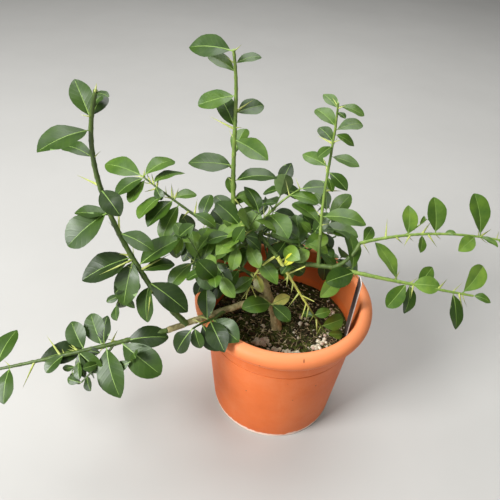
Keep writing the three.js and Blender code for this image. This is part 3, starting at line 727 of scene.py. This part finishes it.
def side_twig(limb, seed, i, share, heading, rise, reach):
    """A side twig, thinner than its stem, which bends a little by its seed."""
    foot = radius_at(limb, share) * 0.6
    return Limb(place_on(limb, share), foot, foot * 0.6, reach, heading,
                30 * (chance(seed, 131 + i) - 0.5), rise, 20 * (chance(seed, 161 + i) - 0.5))


def rule_twigs(limb, seed, count, start, end, reach):
    """Side twigs at even shares, each a fixed turn on from the last."""
    for i, share in enumerate(spread_out(count, start, end)):
        along = outward(limb, share, 360 * chance(seed, 100) + LEAF_TURN * i, 55, -0.1)
        heading, rise = np.degrees(np.arctan2(along[1], along[0])), np.degrees(np.arcsin(along[2]))
        yield side_twig(limb, seed, i, share, heading, rise, reach * (0.8 + 0.4 * chance(seed, 101 + i)))


def rule_thorns(limb, seed, those):
    """A thorn beside most leaves, on the other side of the stem."""
    for i, leaf in enumerate(those):
        if chance(seed, 200 + i) < 0.62:
            along = unit(0.7 * heads(limb, 0.5)[0] - 0.7 * leaf["along"])
            thorns.append((leaf["root"], along, 0.008 + 0.010 * chance(seed, 230 + i), 0.0007))


def grow_shoot(name, *sizes, seed, tones, on=None, at=100, leaf_rows=(), stem="old_stems", sprigs=(),
               twigs=(0,) * 6, spare=(0,) * 4, finer=0, spines=(), swollen=0.0):
    """One mass of foliage: its stem, its leaves, its twigs with their leaves, and finer twigs. It
    carries on from the bough of its name, or from another limb. In all rows, places along the
    stem are in percent, directions in degrees and sizes in millimetres."""
    grow_limb(name + "_leaves", on or name + "_bough", at, *sizes, flare=swollen)
    shoot = limbs[name + "_leaves"]
    stems.append((shoot, stem, 8))
    for share, heading, rise, reach in spines:
        thorns.append((place_on(shoot, share / 100), direction(heading, rise), reach / 1000, SPINE_FOOT))
    first = len(leaves)
    for i, (share, heading, rise, length) in enumerate(leaf_rows):
        roll = 30 * (chance(seed, i + 300) - 0.5)
        add_leaf(shoot, share / 100, direction(heading, rise), length / 1000, roll, seed + 0.01 * i,
                 tones, i)
    count, start, end, length = spare
    rule_leaves(shoot, seed, count, start / 100, end / 100, length / 1000, tones)
    rule_thorns(shoot, seed, leaves[first:])
    count, start, end, reach, each, length = twigs
    rule = rule_twigs(shoot, seed, count, start / 100, end / 100, reach / 1000)
    side_twigs = [(twig, each, length) for twig in rule]
    for i, (share, heading, rise, reach, each, length) in enumerate(sprigs):
        sprig = side_twig(shoot, seed, 50 + i, share / 100, heading, rise, reach / 1000)
        side_twigs.append((sprig, each, length))
    for i, (twig, each, length) in enumerate(side_twigs):
        stems.append((twig, stem, 5))
        rule_leaves(twig, seed * 7 + i, each, 0.35, 1, length / 1000, tones)
        for k, sprig in enumerate(rule_twigs(twig, seed * 11 + i, finer, 0.4, 0.85, twig.reach * 0.45)):
            stems.append((sprig, stem, 4))
            rule_leaves(sprig, seed * 13 + 3 * i + k, 3, 0.3, 1, length / 1000 * 0.75, tones)


grow_shoot(
    "left_low", 2.7, 1.1, 185, -160, -11, -6, -7, seed=3,
    leaf_rows=[(22, 10, 5, 41), (24, -30, -15, 49), (31, -65, -30, 50), (32, 95, 45, 28), (33, 125, 30, 34),
        (41, -10, 0, 13), (42, 130, 30, 31), (45, -30, -15, 30), (45, -65, -30, 25), (52, -125, -10, 22),
        (66, 25, 5, 41), (79, -85, -20, 34), (87, 80, 20, 42), (90, -130, -10, 17), (99, 155, 10, 40)],
    sprigs=[(27, -120, -25, 45, 5, 16), (40, -130, -25, 24, 4, 15)],
    spines=[(67, -105, -30, 26), (54, 140, 30, 24), (45, 145, 15, 17), (29, 70, 30, 15)],
    twigs=(1, 12, 12, 26, 3, 18), tones=(0, 1, 1, 0, 1),
)
grow_shoot(
    "left_tall", 2.5, 1.8, 192, 143, 26, 39, 72, seed=5,
    leaf_rows=[(4, -95, -60, 36), (6, -20, -25, 46), (11, 25, 5, 31), (14, 35, 25, 46), (18, -100, -45, 42),
        (19, -155, -15, 48), (32, -15, -15, 35), (41, -170, 10, 30), (43, -140, -25, 45),
        (54, -45, -20, 30), (69, 160, 10, 31), (82, -130, 0, 46), (87, 130, 45, 34), (88, 75, 30, 24),
        (92, 75, 20, 15), (99, -20, 0, 12)],
    sprigs=[(17, -130, -60, 44, 7, 17)],
    spines=[(2, -90, -30, 30), (12, 15, 30, 34), (18, -130, 5, 36), (32, 100, 40, 36), (20, 175, 0, 24),
        (72, 100, 35, 20), (56, 155, 5, 25), (99, -60, 50, 14)],
    tones=(1, 0, 1, 1),
)
grow_shoot(
    "rim", 1.6, 0.8, 30, -140, 20, 14, 0, seed=8,
    leaf_rows=[(10, -40, -4, 36), (20, -62, -10, 37), (30, 100, 45, 31), (55, -40, -44, 32),
        (90, -55, -58, 22), (100, -150, -55, 31)],
    tones=(1, 0),
)
grow_shoot(
    "centre", 2.5, 1.3, 176, 114, -41, 64, 50, seed=13,
    leaf_rows=[(3, 140, 30, 32), (11, 35, 30, 19), (15, 10, 20, 23), (17, 120, 50, 19), (25, 15, 5, 44),
        (34, -175, 5, 43), (39, 75, 30, 35), (49, -30, -10, 38), (56, 140, 50, 32), (64, 30, 10, 29),
        (74, -165, -10, 34), (87, 165, 25, 27), (92, 20, 15, 23), (99, 170, 0, 38)],
    spines=[(55, 170, 20, 26), (65, 25, 30, 20), (16, -45, -20, 18), (32, 145, 20, 15)],
    tones=(1, 1, 2, 2), stem="young_stems",
)
grow_shoot(
    "right_low", 2.2, 1.1, 136, -14, 16, 1, -10, seed=21,
    leaf_rows=[(3, -130, -30, 36), (10, 95, 35, 42), (12, -145, 5, 36), (43, 125, 35, 44),
        (50, -130, -20, 33), (52, -95, -50, 30), (53, 0, 0, 30), (58, 45, 30, 25), (84, -75, -45, 37),
        (91, 45, 30, 38), (100, -10, -10, 19)],
    spines=[(73, 45, 20, 16), (55, -105, -30, 16), (89, -80, -30, 15), (41, 60, 20, 14)],
    tones=(3, 2, 1), stem="young_stems",
)
grow_shoot(
    "right_high", 1.7, 1, 150, 17, -25, 10, -14, seed=34,
    leaf_rows=[(2, 55, 30, 20), (33, 85, 40, 32), (43, -95, -30, 20), (52, 100, 55, 37), (67, 175, 5, 12),
        (79, -135, -10, 28), (81, -40, 0, 21), (82, 110, 55, 44), (93, -55, -10, 26), (100, 15, 10, 31)],
    sprigs=[(31, 30, 20, 30, 3, 10)],
    spines=[(18, 85, 40, 21), (43, 50, 30, 18), (25, -45, -20, 10), (47, -60, -20, 17), (82, 35, 15, 17),
        (35, -120, -20, 16)],
    tones=(2, 3, 2, 2), stem="young_stems",
)
grow_shoot(
    "right_tall", 1.6, 0.9, 139, 95, -24, 58, 58, seed=55,
    leaf_rows=[(7, 145, 20, 36), (13, -5, 0, 44), (42, -65, -30, 16), (46, -40, -20, 26), (49, 150, 10, 29),
        (57, -15, -5, 28), (65, -140, -20, 18), (68, 130, 20, 21), (74, -10, -20, 21), (77, 25, 10, 28),
        (80, 135, 20, 26), (92, -60, 0, 12), (95, 130, 20, 20), (97, -5, -10, 24)],
    spines=[(67, 170, 20, 16), (32, 5, 0, 17), (73, 75, 30, 12)],
    tones=(2, 2, 2, 1), stem="young_stems",
)
grow_shoot(
    "back_left", 1.7, 0.8, 87, 163, -1, 26, 3, seed=89,
    leaf_rows=[(7, -115, -40, 36), (16, 75, 40, 29), (30, -25, -10, 29), (48, -120, -40, 40),
        (56, -125, -15, 40), (59, 30, 0, 27), (67, -125, -10, 40), (82, -60, -20, 17), (87, 40, 5, 38),
        (96, -115, -20, 31), (98, -132, -8, 36), (100, 50, 10, 40), (100, 160, 5, 46)],
    spines=[(90, 120, 25, 13), (85, 110, 30, 14), (81, 85, 30, 15), (79, -150, -5, 15), (59, 100, 35, 17),
        (56, 75, 30, 15), (27, 85, 35, 18), (35, -120, -20, 12)],
    tones=(2, 1, 2),
)
grow_shoot(
    "back_right", 1.6, 0.8, 51, 31, -17, 52, -21, seed=144,
    leaf_rows=[(7, -180, 20, 25), (8, -35, 0, 42), (20, -60, 0, 40), (30, -110, 50, 30), (76, -15, 0, 30),
        (100, 10, 5, 34)],
    tones=(2, 1), stem="young_stems",
)
grow_shoot(
    "front", 1.7, 0.7, 119, -8, 12, -58, 0, seed=233,
    leaf_rows=[(11, 30, 50, 17), (72, 20, 5, 20), (74, 155, -10, 15), (88, 25, 5, 28), (100, 15, -10, 20)],
    sprigs=[(19, 15, 20, 19, 0, 0), (45, -5, -25, 16, 0, 0), (56, -105, -40, 17, 0, 0)],
    spines=[(5, 40, 10, 26), (8, 40, 10, 14), (22, -140, -20, 11), (20, -95, -30, 14), (30, -100, -30, 12),
        (42, -130, -30, 20), (52, 35, 5, 9), (61, -100, -30, 16), (78, -85, -35, 18)],
    tones=(4, 2, 1, 2, 2), stem="yellow_stems", swollen=0.6,
)
grow_shoot(
    "thorny", 1.3, 0.7, 48, -172, 22, -32, -50, seed=377, on="front_bough", at=95,
    leaf_rows=[(70, -145, -20, 28), (60, -65, -30, 20)],
    sprigs=[(60, 5, 5, 16, 0, 0), (90, -50, -40, 14, 0, 0), (90, -110, -40, 15, 0, 0)],
    spines=[(56, 50, 10, 14), (100, -125, -30, 15), (92, -20, -15, 14)],
    tones=(2, 6), stem="yellow_stems",
)
# The crown's shoots get lighter greens partly as painted light, to lift leaves that lie in the crown's own
# shade.
grow_shoot(
    "crown_left", 1.8, 0.9, 88, -155, -17, 58, -58, seed=7, on="trunk", at=72,
    leaf_rows=[(46, -130, -35, 28), (66, 65, 30, 28), (77, -50, -20, 28), (80, 60, 35, 36),
        (90, 75, 35, 28), (93, 115, 30, 33), (99, -45, -30, 31), (100, -130, -20, 34), (100, 75, 30, 39)],
    spines=[(50, 175, 10, 16), (52, -170, -5, 14), (30, -70, 20, 14)],
    twigs=(3, 30, 90, 28, 3, 28), tones=(2, 3, 1, 2), finer=1,
)
grow_shoot(
    "crown_middle", 1.8, 0.9, 56, -165, -20, 62, 8, seed=11, on="trunk", at=94,
    leaf_rows=[(22, -45, -15, 34), (61, -60, -20, 28), (77, -25, -25, 20), (83, 155, 20, 24),
        (86, -130, -10, 36), (100, -130, -5, 22), (100, 150, 30, 32)],
    spines=[(95, 170, 20, 12), (90, -60, 30, 12), (80, 20, 30, 12), (97, -110, 20, 10)],
    twigs=(3, 35, 80, 24, 3, 28), tones=(3, 3, 1, 2), finer=1,
)
grow_shoot(
    "crown_right", 1.6, 0.9, 46, -14, 0, -9, 0, seed=17, on="back_right_bough", at=76,
    leaf_rows=[(18, 15, 10, 34), (24, 0, 0, 34), (59, -130, -30, 28), (66, -40, -30, 28), (91, 100, 35, 35),
        (100, 35, 10, 31)],
    spines=[(4, 100, 50, 12), (12, -60, 40, 12), (30, 70, 50, 11)],
    twigs=(2, 50, 90, 20, 3, 26), tones=(3, 3, 1, 2, 2), finer=1,
)
grow_shoot(
    "crown_front", 1.7, 1, 16, -95, 0, 45, 0, seed=23, on="trunk", at=44,
    leaf_rows=[(80, 25, 15, 22), (95, -35, -15, 26), (100, -145, 20, 37)],
    tones=(5, 1, 2), finer=1,
)
for name, at, reach, heading, turn, rise, lift, seed, spare, tones in (
    ("crown_back", 75, 100, 82, 16, 14, -16, 29, (4, 30), (0, 1)),
    ("crown_back_left", 66, 104, 140, -6, 12, -6, 37, (3, 35), (0, 1)),
    ("crown_back_right", 80, 104, 46, -10, 10, -8, 41, (3, 35), (1, 2)),
):
    grow_shoot(name, 1.9, 0.9, reach, heading, turn, rise, lift, seed=seed, tones=tones, on="trunk", at=at,
               twigs=(4, 30, 90, 36, 4, 34), spare=(*spare, 100, 34), finer=1)


# The stems, twigs and sprigs: smooth and green, swollen a little at each leaf, greener and
# darker where they are older. The new shoots at the front are yellow.
STEM_DEEP = (54, 74, 26)
STEM_OLIVE = (92, 114, 46)
STEM_GREEN = (100, 128, 52)
STEM_YOUNG = (148, 172, 78)
STEM_YELLOW = (218, 226, 104)
STEM_PALE_YELLOW = (238, 240, 146)
STEM_RING_STEP = 0.0018


def stem_relief(limb, share, around):
    """Faint flutes, with a swelling every 11 mm where a leaf or thorn stands."""
    run = share * limb.reach
    knots = 0.16 * np.exp(-(((run % 0.011) - 0.0055) / 0.0012) ** 2)
    return 1 + knots + 0.04 * np.cos(3 * around + run * 90)


def stem_finish(name, colour, light, green_below=0.0):
    """Streaks of a colour and its lighter one, and green below a height in metres."""
    look = Look(name, colour, 0.45)
    streaks = look.grain(240, 5, 0.35)
    look.colour = look.shades(streaks, (0.35, colour), (0.75, light))
    look.coat(STEM_GREEN, (look.height(), green_below + 0.006, green_below - 0.012))
    return look.done(streaks, 0.0002)


for kind, deep, light, green_below, record_slot in (
    ("old_stems", STEM_DEEP, STEM_OLIVE, 0, "green_bark"),
    ("young_stems", STEM_GREEN, STEM_YOUNG, 0, "young_foliage"),
    ("yellow_stems", STEM_YELLOW, STEM_PALE_YELLOW, POT_HEIGHT, "yellow_foliage"),
):
    skins = [limb_skin(limb, STEM_RING_STEP, 4, sides, stem_relief)
             for limb, stem, sides in stems if stem == kind]
    skin = stem_finish(kind + "_skin", deep, light, green_below)
    twigs = add_piece(kind, *joined(skins), [skin], smooth_to=60)


# The thorns: straight, sharp and pale green, each a narrow five-sided cone out of its stem.
THORN_GREEN = (158, 172, 84)
THORN_YELLOW = (204, 208, 122)

thorn_columns = [np.array(column) for column in zip(*thorns)]
thorn_piece = add_piece("thorns", *spikes(*thorn_columns, 5),
                        [stem_finish("thorn_skin", THORN_GREEN, THORN_YELLOW)], smooth_to=80)


# The leaves: leathery oval blades, broadest past the middle, folded a little along a pale
# midrib and curling down at the tip. They are a soft glossy green above and paler beneath, and
# the younger ones are brighter; the crown's shoots also get brighter greens as painted light.
# A short stalk, which runs on as the midrib, holds each.
LEAF_WIDTH = 0.58
STALK_SHARE = 0.07
LEAF_CURL = 0.07
BLADE_SHARES = np.array([0.02, 0.08, 0.17, 0.28, 0.4, 0.52, 0.64, 0.75, 0.85, 0.93, 0.983])
ACROSS = np.array([1, 0.5, 0, -0.5, -1, 0])
UPPER = np.array([1, 1, 1, 1, 1, 0])
# Four greens from dark to light, then three yellows. The lighter greens go to younger leaves, and also to
# the crown's shoots as painted light.
LEAF_TONES = [(28, 50, 4), (44, 73, 10), (66, 99, 26), (90, 125, 44), (222, 218, 70), (176, 178, 92),
              (104, 108, 32)]
LEAF_BENEATH = (112, 142, 80)
LEAF_BENEATH_PALE = (134, 160, 98)
RIB_GREEN = (108, 140, 60)
RIB_PALE = (138, 166, 84)


def leaf_arrays(those):
    """The leaves' own sizes as columns, and each one's fold, bow, width and outline by its seed."""
    own = {key: np.array([leaf[key] for leaf in those])[:, None] for key in those[0]}
    own["across"] = np.cross(own["face"], own["along"])
    own["fold"] = 0.17 + 0.18 * chance(own["seed"], 41)
    own["bow"] = 0.14 + 0.24 * chance(own["seed"], 43)
    own["wide"] = LEAF_WIDTH * (0.86 + 0.26 * chance(own["seed"], 47))
    own["wave"] = 6.3 * chance(own["seed"], 53)
    own["base"] = 0.72 + 0.36 * chance(own["seed"], 59)
    own["point"] = 0.56 + 0.38 * chance(own["seed"], 61)
    return own


def leaf_surface(own, share, out):
    """Points on the blades: share runs from stalk to tip, out is the distance from the midrib.

    A point is lifted by the fold times its distance, less near the edge, and by the bow times
    its share times the rest. It is lowered by the square of its share towards the tip, and
    rippled a little towards the edge."""
    long = own["length"]
    half = own["wide"] * long / 2
    ripple = 0.016 * long * np.sin(13 * share + own["wave"]) * np.abs(out / half)
    edge = np.abs(out)
    lift = own["fold"] * edge * (1 - 0.4 * edge / half)
    lift = lift + own["bow"] * long * share * (1 - share) - LEAF_CURL * long * share ** 2 + ripple
    return (own["root"] + own["along"] * (share * long)[..., None]
            + own["across"] * out[..., None] + own["face"] * lift[..., None])


def leaf_half_width(own, share):
    """Nothing at the stalk and the tip: the product of a power of the distance from each end."""
    blade = np.clip((share - STALK_SHARE) / (1 - STALK_SHARE), 0, 1)
    base, point = own["base"], own["point"]
    widest = base / (base + point)
    outline = (blade / widest) ** base * ((1 - blade) / (1 - widest)) ** point
    return own["wide"] * own["length"] / 2 * outline


def sleeve(own, share, out, up, ends):
    """Rings of points on the blades, moved out and up from them, and the points that close them."""
    skin = leaf_surface(own, share, out) + own["face"] * up[..., None]
    still = np.zeros((len(out), 1))
    return np.concatenate([skin, *[leaf_surface(own, still + end, still) for end in ends]], 1)


def blades(those):
    """A ring of six points round each blade at each share, thin at the edge, and its two ends."""
    own = leaf_arrays(those)
    sides = len(ACROSS)
    shares = STALK_SHARE + (1 - STALK_SHARE) * BLADE_SHARES
    share = np.repeat(shares, sides)
    across = np.tile(ACROSS, len(shares))
    out = leaf_half_width(own, share) * across
    thin = 0.013 * own["length"] * (1 - across ** 2) * (1 - np.tile(UPPER, len(shares)))
    points = sleeve(own, share, out, -thin, (STALK_SHARE, 1.0))
    under = np.arange(sides) >= sides - 2
    beneath = np.tile(under, len(shares) - 1), np.tile(under, 2)
    lie = np.stack([0.5 + 0.5 * across, share], -1)
    lie = np.tile(np.vstack([lie, [0.5, STALK_SHARE], [0.5, 1]]), (len(those), 1))
    return *many(points, *tube(len(shares), sides)), beneath, lie


def leaf_green(name, colour):
    """A waxy green that clouds a little from leaf to leaf, with faint side veins by its UV."""
    even = ("Coat Weight", 0.12), ("Coat Roughness", 0.38), ("Specular IOR Level", 0.45)
    look = Look(name, colour, 0.42, even)
    dark = np.multiply(colour, (0.84, 0.88, 0.86))
    light = np.minimum(np.multiply(colour, (1.28, 1.16, 1.12)), 255)
    look.colour = look.shades(look.grain(70, 5), (0.3, dark), (0.7, light))
    lie = look.step("SeparateXYZ", {0: look.step("TexCoord").outputs["UV"]}).outputs
    side = look.value("ABSOLUTE", look.value("SUBTRACT", lie["X"], 0.5))
    slant = look.value("MULTIPLY_ADD", side, -0.42, lie["Y"])
    veins = look.value("SINE", look.value("MULTIPLY", slant, 52.0))
    ridge = look.share(veins, 0.55, 1.0)
    look.coat(RIB_GREEN, ridge, 0.03)
    return look.done(ridge, 0.00005)


beneath_green = clouded("leaf_beneath", LEAF_BENEATH, LEAF_BENEATH_PALE, 80, 0.55)
record_rows = frame["record"]["subparts"]
for kind, tones, record_slot in (
    ("dark_leaves", (0, 1), "dark_foliage"),
    ("young_and_lit_leaves", (2, 3), "young_foliage"),
    ("yellow_leaves", (4, 5, 6), "yellow_foliage"),
):
    those = [leaf for leaf in leaves if leaf["tone"] in tones]
    points, faces, beneath, lie = blades(those)
    shade = np.array([[tones.index(leaf["tone"])] for leaf in those])
    shown = np.concatenate([np.where(under, len(tones), shade).ravel() for under in beneath])
    greens = [leaf_green(f"{kind}_{tone}", LEAF_TONES[tone]) for tone in tones] + [beneath_green]
    foliage = add_piece(kind, points, faces, greens, smooth_to=19, finish_of_face=shown, uv=lie)
    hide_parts(*[row["node"] for row in record_rows if row["material_slot"] == record_slot])


def ribs(those):
    """The stalk and midrib of each leaf: a four-sided rod that thins out before the tip."""
    own = leaf_arrays(those)
    shares = np.array([0, 0.08, 0.22, 0.42, 0.62, 0.8, 0.93])
    thick = np.array([0.019, 0.014, 0.009, 0.007, 0.005, 0.003, 0.001])
    size = np.repeat(thick, 4) * np.minimum(own["length"], 0.04) + 0.00012
    out = np.tile([1, 0, -1, 0], len(shares)) * size
    up = np.tile([0, 1, 0, -1], len(shares)) * size * 0.6 + 0.0001
    points = sleeve(own, np.repeat(shares, 4), out, up, (0.0, 0.95))
    return many(points, *tube(len(shares), 4))


rib_piece = add_piece("leaf_ribs", *ribs(leaves),
                      [clouded("rib_green", RIB_GREEN, RIB_PALE, 120, 0.5)], smooth_to=60)


# Where it stands: a plain pale floor, painted matt, under three soft lamps and an even white room.
# None of it is part of the plant.
FLOOR_PALE = (186, 185, 181)
FLOOR_SHADE = (181, 180, 176)
FLOOR_HALF = 6.0
LIGHT_AIM = Vector((0, 0, 0.2))

floor = add_piece("studio_floor", FLOOR_HALF * np.array([(-1, -1, 0), (1, -1, 0), (1, 1, 0), (-1, 1, 0)]),
                  [(0, 1, 2, 3)], [clouded("floor_paint", FLOOR_PALE, FLOOR_SHADE, 3, 0.9)])

# Each lamp is square, with its place, the length of its side and its watts.
for name, place, side, watts in (
    ("key_light", (-1.28, -0.84, 1.36), 0.7, 52),
    ("top_light", (0.1, 0.8, 1.95), 1.4, 30),
    ("fill_light", (0.0, -1.8, 1.5), 1.2, 7),
):
    lamp = bpy.data.lights.new(name, "AREA")
    lamp.size, lamp.energy = side, watts
    stand = bpy.data.objects.new(name, lamp)
    stand.location = place
    stand.rotation_euler = (LIGHT_AIM - Vector(place)).to_track_quat("-Z", "Y").to_euler()
    bpy.context.collection.objects.link(stand)
room = bpy.data.worlds.new("room")
bpy.context.scene.world = room
room.use_nodes = True
room_light = room.node_tree.nodes["Background"].inputs
room_light["Color"].default_value = (1.0, 1.0, 1.0, 1)
room_light["Strength"].default_value = 0.17
bpy.context.scene.view_settings.view_transform = "Standard"
